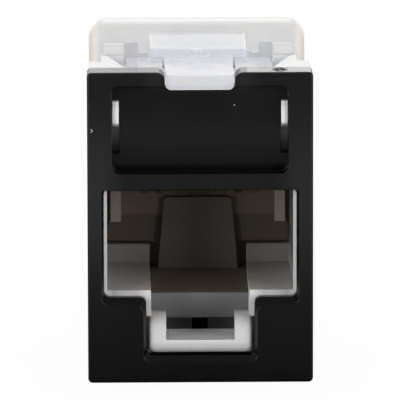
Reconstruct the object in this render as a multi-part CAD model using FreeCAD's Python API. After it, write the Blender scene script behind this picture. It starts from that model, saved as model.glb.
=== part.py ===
"""Keystone jack for an eight-wire modular plug: black front housing, white inner housing, sprung
clear latch, contact carrier with eight spring contacts, circuit board, terminal block and rear cap.

Millimetres. X runs to the right, Y from the front face to the back, Z up. The origin is the centre
of the front face, and the front face lies in the plane Y = 0.
"""
import FreeCAD, Part
import math
import os

V = FreeCAD.Vector
tolerance = 1e-6              # two coordinates closer than this are the same
past = 1.0                    # how far a cutter runs past the face it opens

# ---- Widths that build up from the plug ----------------------------------------------------------
cavity_width = 11.9
cavity_wall = 0.55
skirt_gap = 0.15              # between the inner housing and the skirts of the front housing
skirt_thickness = 0.54
side_step = 0.13              # inner housing and rear cap stand back from the sides of the face
channel_width = 6.3           # for the plug's own latch
channel_wall = 0.6
rim_show = 0.2                # white rim of the cavity seen inside the port
key_show = 0.23               # the same at the foot of the key slot
key_taper = 0.1               # how much wider each side of the key slot is at the sill
fit = 0.05                    # clearance between mouldings that fit into each other

# ---- Heights of the face, from the bottom up -------------------------------------------------------
floor_thickness = 1.46
key_lift = 0.23               # key slot above the floor
key_depth = 3.8
port_height = 6.91
port_to_window = 1.16
window_height = 5.67
window_drop = 0.88            # from the top of the face to the top of the window

# ---- Front housing -------------------------------------------------------------------------------
face_corner = 0.3
edge_break = 0.1
plate_depth = 2.0
skirt_rise = 0.71             # top of the skirts above the top of the port
skirt_corner = 0.6
housing_setback = 0.1         # back of the front housing ahead of the back of the inner one
port_corner = 0.4
port_top_corner = 0.2
lip_depth = 1.0
flare = 0.46                  # depth of the flared mouth, and its reach below the sill
flare_side = 0.15
flare_key = 0.26              # its reach beside the key slot
flare_foot = 0.4              # its reach below the key slot

# Window for a label, with a bowed floor and a slot at each end
window_side = 1.56            # beside the window
window_corner = 0.5
window_depth = 1.0
window_bow = 0.25
slot_inset = 0.02
slot_width = 0.46
slot_height = 3.48
slot_raise = 0.09
slot_bow = 0.05

# Notch in the top edge for the nose of the latch
notch_gap = 0.09              # beside the nose
notch_clearance = 0.08        # under the nose
notch_corner = 0.3
notch_shoulder = 0.55

# Rigid catch for the lower edge of the wall plate
groove_start = 5.7
groove_width = 1.9
groove_depth = 0.6

# Web across the floor, under the carrier's foot, with a blind square hole
web_start = 6.6
web_thickness = 0.8
web_gap = 0.27                # between the web and the foot
web_hole_width = 1.03
web_hole_shift = 0.06
web_hole_height = 1.7
web_hole_lift = 0.4
web_hole_depth = 0.6

# Snap windows in the skirts and the snaps that click into them
snap_start = 6.2
snap_length = 2.4
snap_height = 1.8
snap_drop = 3.44              # middle of the snap windows below the top of the port
snap_corner = 0.2
snap_clearance = 0.2
snap_proud = 0.5

# ---- Inner housing -------------------------------------------------------------------------------
body_end = 12.7
shelf_lift = 0.35             # the shelf stands this far above the sill of the port
step_rise = 1.23
step_depth = 0.77
key_wall_drop = 1.45          # front edges of the channel walls below the sill
key_wall_rise = 0.1           # how much less they reach down at the very front
nose_drop = 0.75
riser_start = 4.5
riser_thickness = 0.6
riser_drop = 0.51             # top of the riser below the sill
riser_height = 1.64
rear_deck_drop = 1.65
deck_drop = 0.75              # top deck under the latch frame, below the top of the face
rail_drop = 0.02
rail_width = 0.78
rail_end = 4.6
wedge_inset = 2.34            # flanks of the rails, from the sides of the housing
wedge_bend_inset = 1.86
wedge_straight = 3.3          # each flank turns outward here, and again at the bend
wedge_bend = 5.2
wedge_bevel = 0.3
stop_plane = 7.7              # back of the stops that bear on the wall plate
stop_thickness = 0.6
stop_foot_setback = 0.15      # foot of each stop, behind its bearing face
gusset_length = 1.0           # gusset behind each stop, narrower to the back
gusset_tip = 0.3
pad_inset = 0.9
pad_width = 1.36
pad_height = 0.65
pad_corner = 0.2
lug_front = 0.3
lug_crown = 0.56              # upper facet of each lug, which leans back by its slope
lug_slope = 0.1
lug_margin = 0.02             # around the lugs in the window slots
lug_bevel = 0.25
core_side = 1.86              # hollow above the comb, open at the back
core_roof = 0.9
core_height = 2.2
core_start = 4.0

# Latch stop: the bar and two posts that hold the plug's own latch
bar_front = 0.5
bar_depth = 3.6
bar_height = 0.83
bar_lift = 0.16               # above the bottom of the key slot
bar_edge_round = 0.3
bar_corner = 0.4
stop_gap = 0.06               # beside the bar, inside the key slot
post_width = 1.13
post_depth = 1.3
post_height = 2.52
post_round = 1.1

# ---- Latch ---------------------------------------------------------------------------------------
latch_front = 0.2
nose_thickness = 0.7
nose_height = 0.91
nose_corner = 0.3
beam_drop = 0.25              # top of the beam below the top of the face
beam_thickness = 0.55
beam_width_front = 4.28
beam_width_back = 4.46
catch_plane = 7.35
catch_height = 0.58
riser_length = 0.6            # thickness of the upright step that catches the wall plate
tab_width = 6.2
tab_length = 3.95
tab_rise = 0.42
tab_thickness = 0.55
tab_corner = 0.15
latch_gap = 0.12              # beside the beam
tab_clearance = 0.15
frame_thickness = 0.5
tie_length = 0.8              # cross tie of the frame, under the beam
tie_reach = 0.2
tie_thickness = 0.45
clear_post_width = 0.85
clear_post_height = 0.8
clear_rib_height = 0.3        # rib between each clear post and the tab
trough_depth = 1.8            # below the top of the face

# ---- Contact carrier -----------------------------------------------------------------------------
wall_thickness = 1.6
comb_setback = 0.4
comb_height = 2.06
tongue_proud = 0.65
tongue_half_bottom = 2.7
tongue_half_top = 2.19
tongue_drop = 2.26            # below the top of the port
tongue_corner = 0.25
tongue_gap = 0.05
pocket_depth = 1.0            # pockets on either side of the tongue's root
corner_block_gap = 0.26
corner_block_width = 0.68
corner_block_height = 3.91
corner_block_proud = 0.5
ledge_height = 3.54
ledge_proud = 0.12
foot_thickness = 0.5
foot_rise = 0.5

# ---- Spring contacts -----------------------------------------------------------------------------
contact_count = 8
contact_pitch = 1.016
contact_width = 0.42
contact_thickness = 0.38
contact_drop = 0.32           # below the top of the port
contact_bend_y = 7.6
contact_knee_y = 5.5
contact_knee_drop = 0.6
contact_tip_y = 3.4
contact_tip_rise = 0.25
contact_tail = 0.25           # beyond the back of the board
contact_round = 0.5
contact_slot = 0.62
contact_slot_end = 0.6
contact_clearance = 0.06
contact_travel = 5.5          # degrees about the board

# ---- Circuit board, terminals and rear cap --------------------------------------------------------
board_gap = 0.05
board_thickness = 1.4
board_side_gap = 0.15         # inside the rear cap
board_headroom = 0.6
board_foot = 1.9
board_corner = 0.5
row_inset = 3.0               # each row of terminals from its end of the board
terminals_in_row = 4
block_end = 0.4
terminal_width = 1.9
terminal_thickness = 0.4
terminal_slit = 0.34
terminal_slit_depth = 3.6
terminal_mouth = 0.9
terminal_tip = 0.15
terminal_lead = 0.4
terminal_corner = 0.1
terminal_pin = 0.5
terminal_length = 5.2
pin_setback = 0.2
pin_hole = 0.76
block_base = 1.2
block_depth = 6.0
block_row_height = 3.6
tail_room = 1.2
wire_slot_width = 1.1
wire_slot_depth = 5.2
wire_slot_corner = 0.3
cap_gap = 0.3
cap_length = 18.0
cap_rise = 1.53               # top edge of the cap above the top of the face, before it is rounded
cap_corner = 1.3
cap_edge_round = 0.8
cap_back_round = 0.4
cap_fall = 4.15               # how far the top comes down to the back
cap_taper = 0.35
cap_wall = 1.15
cap_room_drop = 0.1           # roof of the brow's room below the rear deck
cap_room_corner = 0.5
cable_hole = 6.4
cable_lift = 8.75
collar_wall = 1.1
collar_tip_wall = 0.77
collar_length = 3.0
collar_root = 0.2
collar_slit = 1.2
collar_slit_start = 0.6

# ---- Places that follow from the sizes -----------------------------------------------------------
half_cavity = cavity_width / 2
half_lower = half_cavity + cavity_wall        # inner housing between the skirts
half_face = half_lower + skirt_gap + skirt_thickness
half_upper = half_face - side_step            # inner housing above the skirts
half_cap = half_face - side_step
half_channel = channel_width / 2
half_port = half_cavity + rim_show
half_key = half_channel + key_show
half_window = half_face - window_side
face_height = (floor_thickness + key_lift + key_depth + port_height + port_to_window
               + window_height + window_drop)
top = face_height / 2
base = -face_height / 2
key_bottom = base + floor_thickness + key_lift
sill = key_bottom + key_depth                 # bottom of the port beside the key slot
port_top = sill + port_height
window_low = port_top + port_to_window
window_top = window_low + window_height
window_mid = (window_low + window_top) / 2
slot_mid = window_mid + slot_raise
slot_low = slot_mid - slot_height / 2
slot_high = slot_mid + slot_height / 2
slot_outer = half_window - slot_inset
slot_inner = slot_outer - slot_width
shelf = sill + shelf_lift
step_top = shelf + step_rise
skirt_top = port_top + skirt_rise
snap_z = port_top - snap_drop
housing_end = body_end - housing_setback
body_start = plate_depth + fit                # front of the inner housing, behind the face plate
lower_bottom = base + floor_thickness + fit
riser_top = sill - riser_drop
deck = top - deck_drop
rear_deck = top - rear_deck_drop
trough_floor = top - trough_depth
pad_outer = half_upper - pad_inset
pad_inner = pad_outer - pad_width
beam_top = top - beam_drop
beam_bottom = beam_top - beam_thickness
beside_beam = beam_width_back / 2 + latch_gap
beside_tab = tab_width / 2 + tab_clearance
wall_back = body_end                          # the carrier ends flush with the inner housing
wall_front = wall_back - wall_thickness
comb_front = plate_depth + comb_setback
comb_top = port_top + comb_height
foot_low = riser_top - foot_thickness
contact_z = port_top - contact_drop
board_front = wall_back + board_gap
board_back = board_front + board_thickness
block_front = board_back + fit
cap_front = body_end + cap_gap
cap_back = cap_front + cap_length
cap_top = top + cap_rise
cap_roof = rear_deck - cap_room_drop
half_room = half_cap - cap_wall
half_board = half_room - board_side_gap
board_top = cap_roof - board_headroom
board_bottom = base + cap_wall + board_foot
terminal_pitch = 2 * (half_board - block_end) / terminals_in_row
terminal_rows = (board_top - row_inset, board_bottom + row_inset)
cable_z = base + cable_lift


def front(y):
    """Place (x, z) in the plane Y = y."""
    return lambda x, z: V(x, y, z)


def side(x):
    """Place (y, z) in the plane X = x."""
    return lambda y, z: V(x, y, z)


def plan(z):
    """Place (x, y) in the plane Z = z."""
    return lambda x, y: V(x, y, z)


def outline(corners, place):
    """Closed wire through (u, v, radius) corners, each rounded by a tangent arc unless its radius is 0."""
    points = [place(u, v) for u, v, _ in corners]
    ends = []
    for index, (_, _, radius) in enumerate(corners):
        corner = points[index]
        if radius == 0:
            ends.append((corner, None, corner))
            continue
        before = points[index - 1] - corner
        after = points[(index + 1) % len(points)] - corner
        half_angle = before.getAngle(after) / 2
        before.normalize()
        after.normalize()
        inward = before + after
        inward.normalize()
        reach = radius / math.tan(half_angle)
        middle = corner + inward * (radius / math.sin(half_angle) - radius)
        ends.append((corner + before * reach, middle, corner + after * reach))
    edges = []
    for index, (start, middle, end) in enumerate(ends):
        if middle is not None:
            edges.append(Part.Arc(start, middle, end).toShape())
        following = ends[(index + 1) % len(ends)][0]
        if end.distanceToPoint(following) > tolerance:
            edges.append(Part.LineSegment(end, following).toShape())
    return Part.Wire(edges)


def prism(corners, place, along):
    """Solid from a rounded outline, extruded along a vector."""
    return Part.Face(outline(corners, place)).extrude(along)


def block(x0, x1, y0, y1, z0, z1):
    """Box between two corners."""
    return Part.makeBox(x1 - x0, y1 - y0, z1 - z0, V(x0, y0, z0))


def both(shape):
    """A shape and its mirror image across the middle plane."""
    return [shape, shape.mirror(V(0, 0, 0), V(1, 0, 0))]


def rectangle(half_width, low, high, radius=0.0):
    """Corners of a centred rectangle, for outline()."""
    return [(-half_width, low, radius), (half_width, low, radius),
            (half_width, high, radius), (-half_width, high, radius)]


def port_corners(out_side, out_sill, out_key, out_foot, taper, radius):
    """T-shaped outline of the port, moved out at its sides and top, its sill, key slot and slot's foot."""
    half_slot = half_key + out_key
    half = half_port + out_side
    low = sill - out_sill
    right = [(half_slot, key_bottom - out_foot, radius), (half_slot + taper, low, radius),
             (half, low, radius), (half, port_top + out_side, port_top_corner)]
    return right + [(-x, z, r) for x, z, r in reversed(right)]


def edges_where(shape, test):
    """Edges whose every vertex passes a test on its position."""
    return [edge for edge in shape.Edges if all(test(vertex.Point) for vertex in edge.Vertexes)]


def near(first, second):
    """True where two coordinates are the same."""
    return abs(first - second) < tolerance


# ---- Front housing -------------------------------------------------------------------------------
def label_window():
    """Cutter for the window: a rounded pocket with a bowed floor, and a slot at each end."""
    pocket = prism(rectangle(half_window, window_low, window_top, window_corner),
                   front(-past), V(0, past + window_depth, 0))
    bow_radius = ((window_height / 2) ** 2 + window_bow ** 2) / (2 * window_bow)
    bow = Part.makeCylinder(bow_radius, 2 * half_face,
                            V(-half_face, window_depth - window_bow + bow_radius, window_mid), V(1, 0, 0))
    pocket = pocket.cut(bow)
    place = front(0)
    wire = Part.Wire([
        Part.LineSegment(place(slot_inner, slot_low), place(slot_outer, slot_low)).toShape(),
        Part.Arc(place(slot_outer, slot_low), place(slot_outer + slot_bow / 2, slot_mid),
                 place(slot_outer, slot_high)).toShape(),
        Part.LineSegment(place(slot_outer, slot_high), place(slot_inner, slot_high)).toShape(),
        Part.Arc(place(slot_inner, slot_high), place(slot_inner - slot_bow, slot_mid),
                 place(slot_inner, slot_low)).toShape()])
    slot = Part.Face(wire).extrude(V(0, plate_depth + past, 0))
    return pocket.fuse(both(slot))


def latch_notch():
    """Cutter for the notch in the top edge, with rounded shoulders."""
    half = beam_width_front / 2 + notch_gap
    low = beam_top - nose_height - notch_clearance
    corners = [(half, low, notch_corner), (half, top, notch_shoulder),
               (half + 2 * notch_shoulder, top, 0), (half + 2 * notch_shoulder, top + past, 0)]
    corners = corners + [(-x, z, r) for x, z, r in reversed(corners)]
    return prism(corners, front(-past), V(0, plate_depth + 2 * past, 0))


def port_cutter():
    """Cutter for the port: straight walls through the lip, a flared mouth and a pocket behind the lip."""
    port = port_corners(0, 0, 0, 0, key_taper, port_corner)
    straight = prism(port, front(-past), V(0, plate_depth + 2 * past, 0))
    wide = outline(port_corners(flare_side, flare, flare_key, flare_foot, 0, port_corner + flare_key / 2),
                   front(0))
    narrow = outline(port, front(flare))
    mouth = Part.makeLoft([wide, narrow], True, True)
    pocket = block(-half_lower - fit, half_lower + fit, lip_depth, plate_depth + past,
                   sill - nose_drop - fit, skirt_top + fit)
    key_half = half_channel + channel_wall + fit
    key_pocket = block(-key_half, key_half, lip_depth, plate_depth + past, lower_bottom - fit, sill)
    return straight.fuse([mouth, pocket, key_pocket])


def snap_outline(shrink):
    """Corners (y, z) of a snap window, moved in by shrink."""
    low = snap_z - snap_height / 2 + shrink
    high = snap_z + snap_height / 2 - shrink
    start = snap_start + shrink
    end = snap_start + snap_length - shrink
    return [(start, low, snap_corner), (end, low, snap_corner), (end, high, snap_corner),
            (start, high, snap_corner)]


def make_web():
    """Upright web across the floor with a blind square hole."""
    low = base + floor_thickness
    web = block(-half_channel + fit, half_channel - fit, web_start, web_start + web_thickness,
                low, foot_low - web_gap)
    hole_low = low + web_hole_lift
    hole = block(web_hole_shift - web_hole_width / 2, web_hole_shift + web_hole_width / 2,
                 web_start - past, web_start + web_hole_depth, hole_low, hole_low + web_hole_height)
    return web.cut(hole)


def make_front_housing():
    """Face plate with the port, window and notch, a floor with the rigid catch, and two skirts."""
    body = prism(rectangle(half_face, base, top, face_corner), front(0), V(0, plate_depth, 0))
    body = body.makeChamfer(edge_break, edges_where(body, lambda p: near(p.y, 0)))
    fall = (housing_end - plate_depth) / 4
    floor = block(-half_face, half_face, plate_depth, housing_end, base, base + floor_thickness)
    skirt = prism([(plate_depth, base, 0), (housing_end, base, 0),
                   (housing_end, skirt_top - fall, skirt_corner),
                   (housing_end - fall, skirt_top, skirt_corner), (plate_depth, skirt_top, 0)],
                  side(half_face - skirt_thickness), V(skirt_thickness, 0, 0))
    body = body.fuse([floor, make_web()] + both(skirt)).removeSplitter()
    groove = block(-half_face - past, half_face + past, groove_start, groove_start + groove_width,
                   base - past, base + groove_depth)
    snap = prism(snap_outline(0), side(half_face - skirt_thickness - fit),
                 V(skirt_thickness + past, 0, 0))
    return body.cut([label_window(), latch_notch(), port_cutter(), groove] + both(snap))


# ---- Inner housing -------------------------------------------------------------------------------
def make_latch_stop():
    """U-shaped stop: a bar across the key slot, rooted in the channel walls, and two rounded posts."""
    low = key_bottom + bar_lift
    half = half_key - stop_gap
    tip = low + post_height
    bar = prism(rectangle(half, low, low + bar_height + 2 * bar_corner, bar_corner),
                front(bar_front), V(0, bar_depth, 0))
    bar = bar.cut(block(-half, half, bar_front, bar_front + bar_depth, low + bar_height, tip))
    post = block(half - post_width, half, bar_front, bar_front + post_depth, low + bar_corner, tip)
    stop = bar.fuse(both(post)).removeSplitter()
    stop = stop.makeFillet(post_round, edges_where(stop, lambda p: near(p.y, bar_front) and near(p.z, tip)))
    outer = edges_where(stop, lambda p: near(p.y, bar_front) and
                        (abs(p.x) > half - tolerance or p.z < low + bar_corner + tolerance))
    return stop.makeFillet(bar_edge_round, outer)


def make_rail():
    """Raised rail at one top edge of the inner housing, with a bevelled flank and a braced stop."""
    rail_top = top - rail_drop
    rail_inner = half_upper - rail_width
    flank = half_upper - wedge_inset
    bend = half_upper - wedge_bend_inset
    stop_front = stop_plane - stop_thickness
    foot_front = stop_front + stop_foot_setback
    corners = [(flank, body_start, 0), (flank, wedge_straight, 0), (bend, wedge_bend, 0),
               (pad_outer, foot_front, 0), (rail_inner, foot_front, 0), (rail_inner, rail_end, 0),
               (half_upper, rail_end, 0), (half_upper, body_start, 0)]
    rail = prism(corners, plan(deck), V(0, 0, rail_top - deck))
    bevelled = edges_where(rail, lambda p: near(p.z, rail_top) and p.x < bend + tolerance
                           and p.y > wedge_straight - tolerance)
    rail = rail.makeChamfer(wedge_bevel, bevelled)
    foot = block(pad_inner, rail_inner, foot_front, stop_plane, deck, rail_top)
    pad = block(pad_inner, pad_outer, stop_front, stop_plane, rail_top, top + pad_height)
    pad_edge = edges_where(pad, lambda p: near(p.z, top + pad_height) and near(p.x, pad_outer))
    low = rear_deck - fit
    gusset = prism([(pad_inner, stop_plane, 0), (pad_outer, stop_plane, 0),
                    (pad_inner + gusset_tip, stop_plane + gusset_length, 0),
                    (pad_inner, stop_plane + gusset_length, 0)],
                   plan(low), V(0, 0, top + pad_height - pad_corner - low))
    return rail.fuse([foot, pad.makeFillet(pad_corner, pad_edge), gusset])


def make_lug():
    """Snap lug that fills the upper half of a window slot."""
    low = slot_mid + lug_margin
    high = slot_high - lug_margin
    back = body_start + fit
    corners = [(lug_front + lug_slope, high, 0), (lug_front, high - lug_crown, 0),
               (lug_front, low + lug_bevel, 0), (lug_front + lug_bevel, low, 0), (back, low, 0),
               (back, high, 0)]
    return prism(corners, side(slot_inner + lug_margin), V(slot_width - 2 * lug_margin, 0, 0))


def make_snap():
    """Ramped snap on one side of the inner housing, inside the window of the skirt."""
    corners = snap_outline(snap_clearance)
    (start, low, _), (end, _, _), (_, high, _), _ = corners
    foot = half_lower - fit
    return prism([(foot, start, 0), (half_lower + skirt_gap, start, 0),
                  (half_lower + skirt_gap + snap_proud, end, 0), (foot, end, 0)],
                 plan(low), V(0, 0, high - low))


def housing_cutters():
    """Hollows of the inner housing: plug cavity, comb room, channel, top decks, trough and core."""
    end = body_end + past
    side_steps = block(-half_face, half_face, rail_end, end, rear_deck, top)
    side_steps = side_steps.cut(block(-half_upper + rail_width, half_upper - rail_width, 0, end, base, top))
    half_tie = beside_beam + tie_reach + fit
    half_core = half_upper - core_side
    return [
        block(-half_cavity, half_cavity, 0, end, shelf, port_top),
        block(-half_cavity, half_cavity, comb_front - fit, end, shelf, comb_top + fit),
        block(-half_channel, half_channel, 0, end, lower_bottom - past, shelf + past),
        block(-half_face, half_face, stop_plane, end, rear_deck, top),
        side_steps,
        block(-beside_tab, beside_tab, catch_plane - 2 * tab_clearance, end, trough_floor, top),
        block(-beside_beam, beside_beam, 0, end, trough_floor, top),
        block(-half_tie, half_tie, 0, plate_depth + tie_length + 3 * fit, trough_floor, top),
        block(-half_core, half_core, core_start, end, trough_floor - core_roof - core_height,
              trough_floor - core_roof),
    ]


def make_inner_housing():
    """White moulding: plug cavity, shelves, steps, riser, latch stop, lugs, snaps, rails and stops."""
    lower = block(-half_lower, half_lower, body_start, body_end, lower_bottom, skirt_top + fit)
    upper = block(-half_upper, half_upper, body_start, body_end, skirt_top + fit, deck)
    nose = block(-half_lower, half_lower, lip_depth, body_start, sill - nose_drop, skirt_top)
    key_half = half_channel + channel_wall
    key_low = sill - key_wall_drop
    key_walls = prism([(lip_depth, sill, 0), (lip_depth, key_low + key_wall_rise, 0),
                       (body_start, key_low, 0), (body_start, sill, 0)],
                      side(-key_half), V(2 * key_half, 0, 0))
    body = lower.fuse([upper, nose, key_walls]).cut(housing_cutters())
    step = block(half_channel, half_cavity + fit, wall_front - step_depth, wall_front - fit, shelf - fit,
                 step_top)
    riser = block(-half_channel - fit, half_channel + fit, riser_start, riser_start + riser_thickness,
                  riser_top - riser_height, riser_top)
    pieces = [riser, make_latch_stop()] + both(step) + both(make_rail())
    pieces += both(make_lug()) + both(make_snap())
    return body.fuse(pieces).removeSplitter()


# ---- Latch ---------------------------------------------------------------------------------------
def make_latch_arm():
    """Clear tongue: a nose in the face notch, a flat beam, the catch step and a sloping thumb tab."""
    half_front = beam_width_front / 2
    half_back = beam_width_back / 2
    step_back = catch_plane + riser_length
    beam = prism([(-half_front, latch_front, 0), (half_front, latch_front, 0),
                  (half_back, catch_plane + tab_clearance, 0), (-half_back, catch_plane + tab_clearance, 0)],
                 plan(beam_bottom), V(0, 0, beam_thickness))
    nose = prism([(-half_front, beam_top - nose_height, nose_corner),
                  (half_front, beam_top - nose_height, nose_corner),
                  (half_front, beam_top, 0), (-half_front, beam_top, 0)],
                 front(latch_front), V(0, nose_thickness, 0))
    tab_end = catch_plane + tab_length
    tab_top = beam_top + catch_height
    tab_low = tab_top - tab_thickness
    tab = prism([(catch_plane, beam_bottom, 0), (step_back, beam_bottom, tab_corner),
                 (step_back, tab_low, tab_corner), (tab_end, tab_low + tab_rise, 0),
                 (tab_end, tab_top + tab_rise, tab_corner), (catch_plane, tab_top, edge_break)],
                side(-tab_width / 2), V(tab_width, 0, 0))
    under = block(half_back, tab_width, catch_plane - past, step_back + past, beam_bottom - past, tab_low)
    return beam.fuse([nose, tab.cut(both(under))]).removeSplitter()


def make_latch_frame():
    """Clear plate on the top deck, slotted for the tongue, with two posts level with the panel stops."""
    low = deck + fit
    half = half_upper - wedge_inset - fit
    start = body_start + fit
    before_tab = catch_plane - tab_clearance
    strip = prism([(beside_beam, start, 0), (half, start, 0), (half, stop_plane, 0),
                   (beside_tab, stop_plane, 0), (beside_tab, before_tab, 0), (beside_beam, before_tab, 0)],
                  plan(low), V(0, 0, frame_thickness))
    tie_low = trough_floor + fit
    half_tie = beside_beam + tie_reach
    tie = block(-half_tie, half_tie, start, start + tie_length, tie_low, tie_low + tie_thickness)
    hanger = block(beside_beam, half_tie, start, start + tie_length, tie_low, low)
    post_outer = pad_inner - fit
    post = block(post_outer - clear_post_width, post_outer, stop_plane - stop_thickness, stop_plane,
                 low, top + clear_post_height)
    rib = block(beside_tab, post_outer, stop_plane - stop_thickness, stop_plane, low,
                low + frame_thickness + clear_rib_height)
    return strip.fuse(both(strip)[1:] + [tie] + both(hanger) + both(post) + both(rib)).removeSplitter()


# ---- Contact carrier and contacts ------------------------------------------------------------------
def contact_places():
    """X of each contact, left to right."""
    first = -(contact_count - 1) / 2 * contact_pitch
    return [first + index * contact_pitch for index in range(contact_count)]


def travel_over(length):
    """Rise of a contact at a distance from its pivot, at the end of its travel."""
    return length * math.tan(math.radians(contact_travel))


def make_contact_carrier():
    """Dark moulding: comb over the cavity, back wall with tongue and corner blocks, and a foot."""
    half = half_cavity - fit
    comb = block(-half, half, comb_front, wall_front, port_top + fit, comb_top)
    wall = block(-half, half, wall_front, wall_back, step_top + fit, comb_top)
    half_foot = half_channel - fit
    foot_front = riser_start + riser_thickness + fit
    foot_top = riser_top + foot_rise
    lower_wall = block(-half_foot, half_foot, wall_front, wall_back, foot_low, step_top + fit)
    foot = prism([(foot_front, foot_low, 0), (wall_front, foot_low, 0), (wall_front, foot_top, 0),
                  (foot_front, riser_top, 0)], side(-half_foot), V(2 * half_foot, 0, 0))
    tongue_top = port_top - tongue_drop
    tongue = prism([(-tongue_half_bottom, foot_low, 0), (tongue_half_bottom, foot_low, 0),
                    (tongue_half_top, tongue_top, tongue_corner),
                    (-tongue_half_top, tongue_top, tongue_corner)],
                   front(wall_front - tongue_proud), V(0, tongue_proud + fit, 0))
    block_outer = half_cavity - corner_block_gap
    comb_low = port_top + fit
    corner = block(block_outer - corner_block_width, block_outer, wall_front - corner_block_proud,
                   wall_front + fit, port_top - corner_block_height, comb_low + fit)
    ledge = block(-half, half, wall_front - ledge_proud, wall_front + fit, port_top - ledge_height,
                  comb_low + fit)
    body = comb.fuse([wall, lower_wall, foot, tongue, ledge] + both(corner)).removeSplitter()
    pocket = block(tongue_half_bottom + tongue_gap, half_channel, wall_front - past,
                   wall_front + pocket_depth, foot_top, step_top)
    pocket = pocket.cut(tongue)
    return body.cut(both(pocket) + contact_slots(comb_low))


def contact_slots(comb_low):
    """Cutters for the contacts: a slot through the comb and a passage through the wall for each."""
    half_contact = contact_thickness / 2
    reach = board_front + board_thickness / 2 - contact_tip_y
    slot_top = contact_z + contact_tip_rise + travel_over(reach) + contact_thickness
    passage_low = contact_z - half_contact - 2 * contact_clearance
    passage_top = contact_z + travel_over(board_front - wall_front) + contact_thickness
    slots = []
    for x in contact_places():
        low_x = x - contact_slot / 2
        slots.append(block(low_x, low_x + contact_slot, contact_tip_y - contact_slot_end, wall_front,
                           comb_low - past, slot_top))
        slots.append(block(low_x, low_x + contact_slot, wall_front - past, wall_back + past,
                           passage_low, passage_top))
    return slots


def make_contact(x):
    """One spring contact: a flat spring from the board that dips to a knee and turns up at its tip."""
    half = contact_thickness / 2
    route = [(board_back + contact_tail, contact_z), (contact_bend_y, contact_z),
             (contact_knee_y, contact_z - contact_knee_drop), (contact_tip_y, contact_z + contact_tip_rise)]
    under = [(y, z - half) for y, z in route]
    over = [(y, z + half) for y, z in reversed(route)]
    corners = []
    for side_points in (under, over):
        for index, (y, z) in enumerate(side_points):
            inner = 0 < index < len(side_points) - 1
            corners.append((y, z, contact_round if inner else 0))
    return prism(corners, side(x - contact_width / 2), V(contact_width, 0, 0))


# ---- Board, terminals and block --------------------------------------------------------------------
def terminal_places():
    """(x, z) of each terminal, row by row."""
    first = -(terminals_in_row - 1) / 2 * terminal_pitch
    return [(first + index * terminal_pitch, z) for z in terminal_rows for index in range(terminals_in_row)]


def make_board():
    """Circuit board with a slot for each contact and a hole for each terminal pin."""
    board = prism(rectangle(half_board, board_bottom, board_top, board_corner), front(board_front),
                  V(0, board_thickness, 0))
    half_wide = contact_width / 2 + contact_clearance
    half_high = contact_thickness / 2 + travel_over(board_thickness / 2) + contact_clearance
    holes = [block(x - half_wide, x + half_wide, board_front - past, board_back + past,
                   contact_z - half_high, contact_z + half_high) for x in contact_places()]
    holes += [Part.makeCylinder(pin_hole / 2, board_thickness + 2 * past, V(x, board_front - past, z),
                                V(0, 1, 0)) for x, z in terminal_places()]
    return board.cut(holes)


def make_terminal(x, z):
    """Insulation-displacement terminal: a forked blade on a square pin."""
    blade_start = block_front + block_base / 2
    tip = blade_start + terminal_length
    half = terminal_width / 2
    slit = terminal_slit / 2
    right = [(slit, tip - terminal_slit_depth, 0), (slit, tip - terminal_mouth, 0),
             (half - terminal_tip, tip, terminal_corner), (half, tip - terminal_lead, 0),
             (half, blade_start, 0), (terminal_pin / 2, blade_start, 0),
             (terminal_pin / 2, board_front + pin_setback, 0)]
    corners = [(x + u, v, r) for u, v, r in right] + [(x - u, v, r) for u, v, r in reversed(right)]
    return prism(corners, plan(z - terminal_thickness / 2), V(0, 0, terminal_thickness))


def terminal_cutters(x, z):
    """Pocket for a blade, passage for its pin, and the slot that takes the wire."""
    back = block_front + block_depth
    half_pocket = terminal_width / 2 + fit
    half_pin = terminal_pin / 2 + fit
    thick = terminal_thickness / 2 + fit
    half_wire = wire_slot_width / 2
    pocket = block(x - half_pocket, x + half_pocket, block_front + block_base / 2 - fit, back + past,
                   z - thick, z + thick)
    passage = block(x - half_pin, x + half_pin, block_front - past, back, z - thick, z + thick)
    wire = prism([(x - half_wire, back + past, 0), (x - half_wire, back - wire_slot_depth, wire_slot_corner),
                  (x + half_wire, back - wire_slot_depth, wire_slot_corner), (x + half_wire, back + past, 0)],
                 plan(z - block_row_height), V(0, 0, 2 * block_row_height))
    return [pocket, passage, wire]


def make_terminal_block():
    """Block behind the board with two rows of wire slots, one terminal in each slot."""
    back = block_front + block_depth
    body = block(-half_board, half_board, block_front, block_front + block_base, board_bottom, board_top)
    rows = [block(-half_board, half_board, block_front, back, z - block_row_height / 2,
                  z + block_row_height / 2) for z in terminal_rows]
    half_tails = contact_count * contact_pitch / 2
    tails = block(-half_tails, half_tails, block_front - past, board_back + contact_tail + 4 * fit,
                  contact_z - tail_room / 2, contact_z + tail_room / 2)
    cutters = [tails]
    for x, z in terminal_places():
        cutters += terminal_cutters(x, z)
    return body.fuse(rows).removeSplitter().cut(cutters)


# ---- Rear cap --------------------------------------------------------------------------------------
def make_cap_shell():
    """Outer form of the cap: falling top, sides that draw in to the back, rounded edges and brow."""
    back_top = cap_top - cap_fall
    profile = prism([(cap_front, base, 0), (cap_back, base, 0), (cap_back, back_top, 0),
                     (cap_front, cap_top, 0)], side(-half_cap), V(2 * half_cap, 0, 0))
    half_back = half_cap - cap_taper
    width = prism([(-half_cap, cap_front, 0), (half_cap, cap_front, 0), (half_back, cap_back, 0),
                   (-half_back, cap_back, 0)], plan(base - past), V(0, 0, cap_top - base + 2 * past))
    shell = profile.common(width)
    length_edges = [edge for edge in shell.Edges
                    if abs(edge.Vertexes[0].Y - edge.Vertexes[1].Y) > cap_length / 2]
    shell = shell.makeFillet(cap_corner, length_edges)
    shell = shell.makeFillet(cap_edge_round, edges_where(shell, lambda p: near(p.y, cap_front)))
    return shell.makeFillet(cap_back_round, edges_where(shell, lambda p: near(p.y, cap_back)))


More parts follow.
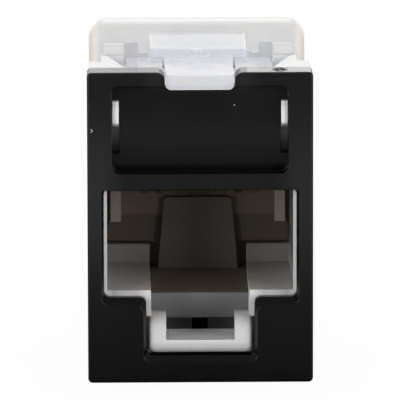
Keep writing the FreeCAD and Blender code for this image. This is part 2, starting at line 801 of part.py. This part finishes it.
def make_rear_cap():
    """Hood over the terminals: a rounded front brow, falling top, cable hole and split collar."""
    slope = cap_fall / cap_length
    inner_end = cap_back - cap_wall
    inner_top_end = cap_top - cap_fall - cap_wall + slope * cap_wall
    bend = inner_end - (cap_roof - inner_top_end) / slope
    floor = base + cap_wall
    mouth = cap_front - past
    room = prism([(mouth, floor, 0), (inner_end, floor, cap_room_corner),
                  (inner_end, inner_top_end, cap_room_corner), (bend, cap_roof, 0), (mouth, cap_roof, 0)],
                 side(-half_room), V(2 * half_room, 0, 0))
    collar_end = cap_back + collar_length
    bore = cable_hole / 2
    hole = Part.makeCylinder(bore, collar_end - inner_end + 2 * past, V(0, inner_end - past, cable_z),
                             V(0, 1, 0))
    collar = Part.makeCone(bore + collar_wall, bore + collar_tip_wall, collar_length + collar_root,
                           V(0, cap_back - collar_root, cable_z), V(0, 1, 0))
    reach = bore + collar_wall + past
    half_slit = collar_slit / 2
    slit_start = cap_back + collar_slit_start
    slits = [block(-half_slit, half_slit, slit_start, collar_end + past, cable_z - reach, cable_z + reach),
             block(-reach, reach, slit_start, collar_end + past, cable_z - half_slit, cable_z + half_slit)]
    return make_cap_shell().fuse(collar).cut([room, hole] + slits)


def build():
    """Every sub-part by name."""
    parts = {
        "front_housing": make_front_housing(),
        "inner_housing": make_inner_housing(),
        "latch_arm": make_latch_arm(),
        "latch_frame": make_latch_frame(),
        "contact_carrier": make_contact_carrier(),
        "circuit_board": make_board(),
        "terminal_block": make_terminal_block(),
        "rear_cap": make_rear_cap(),
    }
    for number, x in enumerate(contact_places(), start=1):
        parts["spring_contact_%d" % number] = make_contact(x)
    for number, (x, z) in enumerate(terminal_places(), start=1):
        parts["wire_terminal_%d" % number] = make_terminal(x, z)
    return parts


os.makedirs("parts", exist_ok=True)
for name, shape in build().items():
    print(name, shape.isValid(), len(shape.Solids), round(shape.Volume, 2))
    shape.exportStep("parts/%s.step" % name)
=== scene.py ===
"""Looks of the keystone jack: finishes for every moulding and metal piece, studio light and camera.

Metres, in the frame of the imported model: X to the right, Y from the front face to the back, Z up.
"""
import math

import bpy
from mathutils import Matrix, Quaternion, Vector


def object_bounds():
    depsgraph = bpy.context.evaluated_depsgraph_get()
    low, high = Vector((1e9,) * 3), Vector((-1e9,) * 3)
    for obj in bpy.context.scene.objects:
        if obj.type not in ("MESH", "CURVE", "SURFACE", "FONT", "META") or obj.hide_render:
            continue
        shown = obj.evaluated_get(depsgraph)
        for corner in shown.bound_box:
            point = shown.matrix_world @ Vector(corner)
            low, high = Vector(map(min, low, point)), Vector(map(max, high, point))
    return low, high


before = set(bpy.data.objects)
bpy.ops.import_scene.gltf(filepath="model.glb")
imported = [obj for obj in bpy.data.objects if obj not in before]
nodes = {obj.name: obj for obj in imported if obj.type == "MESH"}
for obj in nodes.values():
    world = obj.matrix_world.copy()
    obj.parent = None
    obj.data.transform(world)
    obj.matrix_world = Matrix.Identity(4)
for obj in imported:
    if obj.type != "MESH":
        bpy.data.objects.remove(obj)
cad_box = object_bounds()

MM = 0.001

# Limits that several tints of the inner housing share, in millimetres.
RIM_LIMIT = 1.4                # the rim of the cavity starts in front of this depth
STOP_LIMIT = 4.2               # the latch stop ends in front of this depth, and the riser starts behind it
OVER_PORT = 3.0                # the lugs and the wall behind the window slots lie above this height


# ---- Node helpers ----------------------------------------------------------------------------------
def grey(level):
    """Neutral colour."""
    return (level, level, level)


class Value:
    """A socket that carries a number: arithmetic on it adds Math nodes."""

    def __init__(self, owner, socket):
        self.owner = owner
        self.socket = socket

    def _math(self, operation, *operands, clamp=False):
        settings = {"operation": operation, "use_clamp": clamp}
        return self.owner.node("ShaderNodeMath", settings, dict(enumerate(operands)))

    def __add__(self, other):
        return self._math("ADD", self, other)

    __radd__ = __add__

    def __sub__(self, other):
        return self._math("SUBTRACT", self, other)

    def __rsub__(self, other):
        return self._math("SUBTRACT", other, self)

    def __mul__(self, other):
        return self._math("MULTIPLY", self, other)

    __rmul__ = __mul__

    def __truediv__(self, other):
        return self._math("DIVIDE", self, other)

    def __pow__(self, other):
        return self._math("POWER", self, other)

    def clamp(self):
        return self._math("ADD", self, 0.0, clamp=True)

    def larger(self, other):
        return self._math("MAXIMUM", self, other)

    def size(self):
        return self._math("ABSOLUTE", self)

    def ramp(self, low, high):
        """0 below low, 1 above high, straight in between."""
        return ((self - low) / (high - low)).clamp()

    def above(self, edge, soft):
        """0 up to an edge, rising to 1 over a soft width past it."""
        return (self - edge).ramp(0.0, soft)

    def below(self, edge, soft):
        """0 from an edge on, rising to 1 over a soft width short of it."""
        return (edge - self).ramp(0.0, soft)


class Nodes:
    """A node tree, emptied and filled again in code."""

    def __init__(self, tree, output):
        self.tree = tree
        self.tree.nodes.clear()
        self.output = self.tree.nodes.new(output)

    def feed(self, socket, value):
        """Links a value or a socket to a socket, or writes a plain value into it."""
        if isinstance(value, Value):
            self.tree.links.new(value.socket, socket)
        elif isinstance(value, bpy.types.NodeSocket):
            self.tree.links.new(value, socket)
        elif socket.type == "RGBA" and len(value) == 3:
            socket.default_value = (*value, 1.0)
        else:
            socket.default_value = value

    def node(self, kind, settings=None, inputs=None, output=0):
        """Adds a node: its settings first, then the values or links of its sockets."""
        node = self.tree.nodes.new(kind)
        for name, value in (settings or {}).items():
            setattr(node, name, value)
        for key, value in (inputs or {}).items():
            self.feed(node.inputs[key], value)
        socket = node.outputs[output]
        return Value(self, socket) if socket.type == "VALUE" else socket

    def ray(self, kind):
        """1 for rays of one kind and 0 for the others."""
        return self.node("ShaderNodeLightPath", output="Is " + kind + " Ray")

    def place(self, kind):
        """Position, as the texture coordinate of one kind."""
        return self.node("ShaderNodeTexCoord", output=kind)

    def split(self, vector):
        """The three numbers of a vector."""
        return [self.node("ShaderNodeSeparateXYZ", inputs={0: vector}, output=index) for index in range(3)]

    def blend(self, factor, first, second):
        """Makes the output a mix of two shaders."""
        mixed = self.node("ShaderNodeMixShader", inputs={0: factor, 1: first, 2: second})
        self.feed(self.output.inputs[0], mixed)


class Shader(Nodes):
    """One material's node tree, with a Principled surface."""

    def __init__(self, name, **surface):
        self.material = bpy.data.materials.new(name)
        self.material.use_nodes = True
        super().__init__(self.material.node_tree, "ShaderNodeOutputMaterial")
        self.surface = self.tree.nodes.new("ShaderNodeBsdfPrincipled")
        self.feed(self.output.inputs[0], self.surface.outputs[0])
        self.set(**surface)

    def set(self, **sockets):
        """Feeds the Principled surface: Base_Color=..., Roughness=... and so on."""
        for name, value in sockets.items():
            self.feed(self.surface.inputs[name.replace("_", " ")], value)

    def axes(self):
        """Position on the piece as three numbers in millimetres."""
        return [value * (1 / MM) for value in self.split(self.place("Object"))]

    def noise(self, cell, detail=2.0):
        """Noise of about one cell a feature, in millimetres, as a number near 0.5."""
        inputs = {"Vector": self.place("Object"), "Scale": 1 / (cell * MM), "Detail": detail}
        return self.node("ShaderNodeTexNoise", {}, inputs, "Fac")

    def mix(self, factor, first, second):
        """Colour between two colours."""
        return self.node("ShaderNodeMix", {"data_type": "RGBA"}, {0: factor, 6: first, 7: second}, 2)

    def bump(self, height, depth, strength, normal=None):
        """Normal from a height between 0 and 1 that stands for a depth in millimetres."""
        inputs = {"Height": height, "Distance": depth * MM, "Strength": strength}
        if normal is not None:
            inputs["Normal"] = normal
        return self.node("ShaderNodeBump", {}, inputs)

    def soft_edges(self, radius):
        """Normal that rounds edges by a small radius in millimetres."""
        return self.node("ShaderNodeBevel", {"samples": 6}, {"Radius": radius * MM})


def spot(axes, centre, radius, soft=0.4):
    """1 inside a round spot and 0 outside, from its centre and radius along two axes."""
    distance = 0.0
    for axis, place in zip(axes, centre):
        distance = (axis - place) ** 2.0 + distance
    return 1.0 - (distance ** 0.5).ramp(radius * (1 - soft), radius)


# ---- Materials -------------------------------------------------------------------------------------
def black_plastic():
    """Semi-gloss black moulding with a fine grain, rubbed patches, a chip, a fleck and a smudge, with a
    painted sheen and painted reflections on the face and the top ledge, and a web painted lighter.
    """
    shader = Shader("black plastic", IOR=1.4)
    x, y, z = shader.axes()
    across = x.size()
    rubbed = shader.noise(3.5, 3.0).ramp(0.45, 0.75)
    from_chip = (z - 6.32).size()
    chip = (x + 6.84 + from_chip).size().below(0.04, 0.02) * from_chip.below(0.12, 0.02)
    fleck = spot((x, z), (2.19, 7.81), 0.06) * 0.5
    specks = chip.larger(fleck)
    # painted light: the black web deep behind the latch stop is painted a pale grey, as if lit, though it
    # lies in shade
    web_painted_lighter = y.above(5.6, 0.3) * y.below(7.0, 0.3) * across.below(3.4, 0.2)
    # painted sheen: the front face is painted lighter in a broad band around mid height, less on the right
    # and only towards the sides, standing in for a reflection
    painted_sheen = (1.0 - ((z - 1.8) * (1 / 7.5)) ** 2.0).clamp() ** 2.0 * y.below(0.05, 0.05)
    painted_sheen = painted_sheen * (1.0 - 0.28 * x.ramp(-7.0, 7.0)) * across.ramp(4.8, 6.2)
    # painted reflection: a lighter patch on the face beside the latch notch
    reflection_beside_notch = across.above(2.3, 0.2) * across.below(3.8, 0.8) * z.above(8.6, 0.5)
    painted_sheen = painted_sheen + 0.5 * reflection_beside_notch
    colour = shader.mix(painted_sheen, (0.0012, 0.0012, 0.0013), (0.017, 0.017, 0.0172))
    # painted light on the web
    colour = shader.mix(web_painted_lighter, colour, grey(0.26))
    ledge = z.above(10.0, 0.03)
    smudge = spot((x * 1.7, y), (8.65, 1.0), 1.0, 0.5) * shader.noise(0.25, 3.0).ramp(0.36, 0.42) * ledge
    # painted reflection: the top ledge is painted a lighter grey, far more right of x = 3 mm, outside the
    # smudge; the same mask also gives the ledge a real clear coat
    coat_and_painted_reflection = ledge * (1.0 - smudge) * (0.35 + 0.65 * x.ramp(2.95, 3.05))
    colour = shader.mix(coat_and_painted_reflection, colour, grey(0.06))
    shader.set(Base_Color=shader.mix(specks, colour, grey(0.55)), Coat_Weight=coat_and_painted_reflection, Coat_Roughness=0.12,
               Roughness=0.28 + 0.08 * rubbed + 0.2 * specks - 0.1 * ledge + 0.82 * smudge,
               Normal=shader.bump(shader.noise(0.09), 0.004, 0.35, shader.soft_edges(0.07)))
    return shader.material


def satin_white(name, first, second, roughness, edge):
    """Shader of a satin white moulding with a trace of flow marks, and its tint."""
    shader = Shader(name, Subsurface_Weight=0.15, Subsurface_Scale=0.0006)
    flow = shader.noise(1.8, 3.0)
    shader.set(Roughness=roughness + 0.1 * flow,
               Normal=shader.bump(shader.noise(0.12), 0.003, 0.3, shader.soft_edges(edge)))
    return shader, shader.mix(flow, first, second)


def plain_white():
    """Satin white moulding with flow marks and nothing else."""
    shader, tint = satin_white("plain white", grey(0.80), grey(0.85), 0.38, 0.05)
    shader.set(Base_Color=tint)
    return shader.material


def outer_white(shader, tint, across, y, z):
    """Tint of the inner housing outside its cavity.

    The rim, pads, lugs, latch stop and the wall behind the window slots carry painted light and shade:
    lighter where they should read lit, darker where shade falls.
    """
    # painted shade: the rim strips beside the key slot are painted mid grey
    sill_shade = z.size().above(4.0, 0.05) * z.size().below(4.7, 0.05) * across.above(3.3, 0.8)
    sill_shade = sill_shade * across.below(5.75, 0.2) * y.below(RIM_LIMIT, 0.1)
    tint = shader.mix(sill_shade, tint, grey(0.5))
    # painted shade: the pads at the top, from 7 mm back, are painted a darker grey
    pad_shade = z.above(9.9, 0.1) * y.above(7.0, 0.05)
    tint = shader.mix(pad_shade, tint, (0.72, 0.72, 0.715))
    lug = z.above(OVER_PORT, 0.1) * y.below(1.9, 0.1)
    side = across.above(5.75, 0.1) * y.below(RIM_LIMIT, 0.1)
    bar = across.below(2.0, 0.05) * z.above(-7.45, 0.05) * z.below(-6.8, 0.1)
    # painted light: the fronts of the lugs, the sides of the rim and the bar of the latch stop are painted
    # near white so they read brightly lit
    tint = shader.mix(lug.larger(side).larger(bar), tint, grey(0.98))
    # painted shade: the tops of the lugs are painted greyer
    tint = shader.mix(lug * z.ramp(7.75, 7.85), tint, grey(0.84))
    # painted shade: the lower ends of the lugs darken towards their bottoms
    lug_foot_shade = shader.mix(z.ramp(6.45, 6.75), grey(0.2), grey(0.6))
    tint = shader.mix(lug * z.below(6.85, 0.2), tint, lug_foot_shade)
    # painted shade: the wall seen through the window slots is painted darker towards its bottom
    wall = y.above(1.95, 0.05) * y.below(2.2, 0.05) * z.above(OVER_PORT, 0.1)
    tint = shader.mix(wall, tint, shader.mix(z.ramp(5.2, 5.9), grey(0.36), grey(0.84)))
    # painted shade: the posts of the latch stop are painted darker towards their tops
    post_top_shade = across.below(3.13, 0.02) * z.ramp(-6.9, -5.9) * y.below(STOP_LIMIT, 0.1)
    post_top_shade = post_top_shade * z.below(-5.2, 0.1)
    tint = shader.mix(post_top_shade * 0.6, tint, (0.45, 0.43, 0.41))
    # painted shade: the latch stop is painted mid grey below its bar
    stop_foot_shade = z.below(-7.5, 0.5) * across.below(3.25, 0.05) * y.below(STOP_LIMIT, 0.1)
    return shader.mix(stop_foot_shade, tint, grey(0.5))


def cavity_white(shader, across, y, z):
    """Painted shade in the cavity of the inner housing: darker with depth, darkest on the back steps,
    darker up the side walls and on the riser.
    """
    shade = shader.mix(y.ramp(1.5, 9.0), (0.86, 0.835, 0.80), (0.46, 0.44, 0.415))
    shade = shader.mix(y.above(10.2, 0.05), shade, (0.225, 0.213, 0.203))
    # painted shade on the side walls of the cavity, darker upwards
    flank_shade = shader.mix(z.ramp(-4.0, -2.0), (0.35, 0.34, 0.32), (0.12, 0.105, 0.095))
    shade = shader.mix(across.above(5.9, 0.03), shade, flank_shade)
    # painted shade on the riser behind the latch stop, darker towards its bottom
    riser = y.above(4.3, 0.05) * y.below(5.5, 0.05) * across.below(3.2, 0.02)
    riser_shade = shader.mix(z.ramp(-6.7, -5.1), (0.13, 0.13, 0.133), (0.215, 0.212, 0.212))
    return shader.mix(riser, shade, riser_shade)


def white_plastic():
    """Satin white moulding of the inner housing, with painted light and shade outside its cavity and
    painted shade in it.
    """
    shader, tint = satin_white("white plastic", (0.84, 0.84, 0.845), grey(0.88), 0.36, 0.12)
    x, y, z = shader.axes()
    across = x.size()
    inside = y.above(0.9, 0.6) * z.below(2.4, 0.1) * across.below(6.0, 0.05)
    stop = y.below(STOP_LIMIT, 0.1) * across.below(3.25, 0.02) * z.below(-5.6, 0.1)
    outer = outer_white(shader, tint, across, y, z)
    shader.set(Base_Color=shader.mix(inside * (1.0 - stop), outer, cavity_white(shader, across, y, z)))
    return shader.material


def carrier_plastic():
    """Dark warm grey, glass-filled and matt, with painted light and shade by place."""
    shader = Shader("carrier plastic")
    x, y, z = shader.axes()
    flow = shader.noise(1.2, 3.0)
    # painted light and shade: the corner blocks, the pockets behind the back wall and the floor in front
    # of it are painted lighter, the lower back wall darker than the upper, and the raised tongue and steps
    # a set darker tone
    blocks = y.below(10.9, 0.1) * x.size().above(4.9, 0.1)
    raised = y.below(10.95, 0.1) * (1.0 - blocks)
    foot = z.below(-4.4, 0.1) * y.below(10.4, 0.05)
    pockets = y.above(11.2, 0.1) * z.ramp(-0.9, -1.1)
    high = shader.mix(flow, (0.135, 0.10, 0.077), (0.16, 0.12, 0.094))
    colour = shader.mix(z.ramp(-1.3, -1.0), (0.083, 0.062, 0.046), high)
    colour = shader.mix(pockets, colour, (0.34, 0.23, 0.16))
    colour = shader.mix(raised, colour, (0.108, 0.086, 0.073))
    colour = shader.mix(foot, colour, (0.20, 0.16, 0.127))
    shader.set(Base_Color=shader.mix(blocks, colour, (0.41, 0.33, 0.275)), Roughness=0.5 + 0.12 * flow,
               Normal=shader.bump(shader.noise(0.08, 3.0), 0.004, 0.4, shader.soft_edges(0.05)))
    return shader.material


def clear_plastic(name, tint, tab_tint):
    """Clear polycarbonate: light passes on through it to what lies behind; it carries painted glints and
    painted edge highlights.
    """
    shader = Shader(name, Transmission_Weight=0.7, IOR=1.49)
    x, y, _ = shader.axes()
    across = x.size()
    ripple = shader.noise(0.9)
    catch = y.above(7.2, 0.1) * y.below(7.7, 0.1)
    colour = shader.mix(catch, shader.mix(y.ramp(7.9, 8.0), tint, tab_tint), (0.83, 0.84, 0.93))
    middle = across.below(0.9, 0.2)
    # painted glints: white flecks on the catch band in the middle
    specks = middle * catch * shader.noise(0.25).ramp(0.48, 0.56)
    colour = shader.mix(specks, colour, grey(1.0))
    gate = middle * y.above(2.6, 0.3) * y.below(4.2, 0.3) * shader.noise(0.6).ramp(0.35, 0.5)
    colour = shader.mix(gate, colour, (0.78, 0.78, 0.88))
    # painted highlights: the side edges of the tab and of the beam are painted white
    tab_edge_highlights = y.above(8.0, 0.1) * across.above(2.96, 0.06)
    beam_edge_highlights = y.below(7.0, 0.1) * across.above(2.04, 0.06) * across.below(2.3, 0.03)
    shader.set(Base_Color=shader.mix(tab_edge_highlights.larger(beam_edge_highlights), colour, grey(1.0)),
               Roughness=0.14 + 0.08 * ripple,
               Normal=shader.bump(ripple, 0.004, 0.2, shader.soft_edges(0.05)))
    through = shader.node("ShaderNodeBsdfTransparent", inputs={"Color": (0.93, 0.935, 0.96)})
    shader.blend(shader.ray("Shadow").larger(shader.ray("Diffuse")), shader.surface.outputs[0], through)
    return shader.material


def cap_plastic():
    """Translucent white moulding, with painted light along its side edges: paler and warmer there."""
    shader = Shader("cap plastic", Subsurface_Weight=0.5, Subsurface_Scale=0.0012,
                    Subsurface_Radius=(1.0, 0.85, 0.7))
    across = shader.axes()[0].size()
    flow = shader.noise(3.0)
    middle = shader.mix(flow, (0.70, 0.70, 0.695), (0.73, 0.73, 0.725))
    # painted light: the side edges are painted paler and warmer
    shader.set(Base_Color=shader.mix(across.ramp(6.35, 6.8), middle, (1.0, 0.92, 0.84)),
               Roughness=0.42 + 0.08 * flow, Normal=shader.bump(shader.noise(0.15), 0.003, 0.25))
    return shader.material


def board_laminate():
    """Green solder mask over copper tracks."""
    shader = Shader("board laminate")
    x, _, z = shader.axes()
    tracks = ((x * 0.98 + z * 0.1) * 6.18).size()
    track = shader.node("ShaderNodeMath", {"operation": "SINE"}, {0: tracks}).ramp(0.2, 0.5)
    shader.set(Base_Color=shader.mix(track * 0.5, (0.012, 0.11, 0.045), (0.02, 0.20, 0.08)),
               Roughness=0.25 + 0.15 * shader.noise(0.35), Normal=shader.bump(track, 0.03, 0.3))
    return shader.material


def metal(name, light, dark, roughness):
    """Stamped and plated metal with fine drawing lines."""
    shader = Shader(name, Metallic=1.0)
    wear = shader.noise(0.5, 3.0)
    shader.set(Base_Color=shader.mix(wear, light, dark), Roughness=roughness + 0.15 * wear,
               Normal=shader.bump(shader.noise(0.06, 1.0), 0.002, 0.3))
    return shader.material


def dress(material, *prefixes):
    """Gives a material to every node whose name starts with one of the prefixes."""
    for name, item in nodes.items():
        if name.startswith(prefixes):
            item.data.materials.clear()
            item.data.materials.append(material)


def finish_pieces():
    """A finish for every piece."""
    frame_tint = (0.73, 0.735, 0.755)
    dress(black_plastic(), "front_housing")
    dress(white_plastic(), "inner_housing")
    dress(plain_white(), "terminal_block")
    dress(carrier_plastic(), "contact_carrier")
    dress(clear_plastic("clear arm", (0.93, 0.935, 0.95), (0.82, 0.825, 0.84)), "latch_arm")
    dress(clear_plastic("clear frame", frame_tint, frame_tint), "latch_frame")
    dress(cap_plastic(), "rear_cap")
    dress(board_laminate(), "circuit_board")
    dress(metal("gold plate", (0.56, 0.40, 0.18), (0.43, 0.30, 0.13), 0.25), "spring_contact")
    dress(metal("tin plate", (0.68, 0.68, 0.66), (0.55, 0.55, 0.54), 0.3), "wire_terminal")


# ---- Studio ----------------------------------------------------------------------------------------
ELEVATION = math.radians(10.5)
AZIMUTH = math.radians(0.92)   # the camera stands a little to the left
ROLL = math.radians(-0.13)
DISTANCE = 0.450
VIEW_WIDTH = 0.02548           # width of the view at the front face
AIM_UP = 0.001793              # the view's centre stands this far above the middle of the face
AIM_LEFT = 0.00002             # and this far to its left
SENSOR = 36.0
PLAIN_LIGHT = 0.14             # strength of the surroundings as a light on the pieces
DIM_FRONT = 0.12               # share of white that glossy pieces see in front of the jack
FLOOR_RADIUS = 0.11
FLOOR_GLOW = 0.96              # share of plain white in what the lens sees of the floor
LAMP_AIM = (0, 0.006, 0)
LAMPS = (("top softbox", (0.0, 0.16, 0.40), 0.30, 1.52),
         ("left softbox", (-0.31, -0.30, 0.06), 0.24, 1.04),
         ("right softbox", (0.31, -0.30, 0.06), 0.24, 1.04))


def make_camera():
    """Long lens in front of the face and a little above it."""
    level = math.cos(ELEVATION)
    towards = Vector((math.sin(AZIMUTH) * level, math.cos(AZIMUTH) * level, -math.sin(ELEVATION)))
    rotation = towards.to_track_quat("-Z", "Y")
    camera = bpy.data.objects.new("camera", bpy.data.cameras.new("camera"))
    camera.data.sensor_width = SENSOR
    camera.data.lens = SENSOR * DISTANCE / VIEW_WIDTH
    camera.data.clip_start = 0.01
    camera.data.clip_end = 10
    camera.rotation_mode = "QUATERNION"
    camera.rotation_quaternion = rotation @ Quaternion((0, 0, 1), ROLL)
    target = rotation @ Vector((-AIM_LEFT, AIM_UP, 0))
    camera.location = target - towards * DISTANCE
    bpy.context.scene.collection.objects.link(camera)
    bpy.context.scene.camera = camera


def make_lamp(name, place, size, power):
    """Square softbox that faces the jack."""
    lamp = bpy.data.objects.new(name, bpy.data.lights.new(name, "AREA"))
    lamp.data.shape = "SQUARE"
    lamp.data.size = size
    lamp.data.energy = power
    lamp.location = place
    lamp.rotation_mode = "QUATERNION"
    lamp.rotation_quaternion = (Vector(LAMP_AIM) - Vector(place)).to_track_quat("-Z", "Y")
    lamp.visible_camera = False
    lamp.visible_transmission = False
    bpy.context.scene.collection.objects.link(lamp)


def make_world():
    """White surroundings for the lens and for clear pieces, plain light on the pieces themselves.

    Glossy pieces see the surroundings white behind the jack and dim in front of it.
    """
    bpy.context.scene.world = bpy.data.worlds.new("studio")
    bpy.context.scene.world.use_nodes = True
    world = Nodes(bpy.context.scene.world.node_tree, "ShaderNodeOutputWorld")
    plain = world.node("ShaderNodeBackground", inputs={"Color": grey(1.0), "Strength": PLAIN_LIGHT})
    bright = world.node("ShaderNodeBackground", inputs={"Color": grey(1.0)})
    depth = world.split(world.place("Generated"))[1]
    behind = DIM_FRONT + (1.0 - DIM_FRONT) * depth.ramp(-0.2, 0.5)
    seen = world.ray("Camera").larger(world.ray("Transmission")).larger(world.ray("Glossy") * behind)
    world.blend(seen, plain, bright)


def make_floor():
    """Pale table under the jack: white to the lens, with a soft shadow.

    The light that it returns to the jack is that of a grey table, paler far in front.
    """
    base = cad_box[0][2]
    bpy.ops.mesh.primitive_circle_add(vertices=128, radius=FLOOR_RADIUS, fill_type="NGON",
                                      location=(0, 0, base))
    floor = bpy.context.object
    floor.name = "floor"
    shader = Shader("table", Roughness=0.9)
    seen = shader.ray("Camera")
    unseen = shader.mix(shader.axes()[1].below(-25.0, 45.0), grey(0.2), grey(0.7))
    shader.set(Base_Color=shader.mix(seen, unseen, grey(1.0)))
    shader.blend(seen * FLOOR_GLOW, shader.surface.outputs[0], shader.node("ShaderNodeEmission"))
    floor.data.materials.append(shader.material)


finish_pieces()
make_camera()
make_world()
for lamp in LAMPS:
    make_lamp(*lamp)
make_floor()
bpy.context.scene.view_settings.view_transform = "Standard"
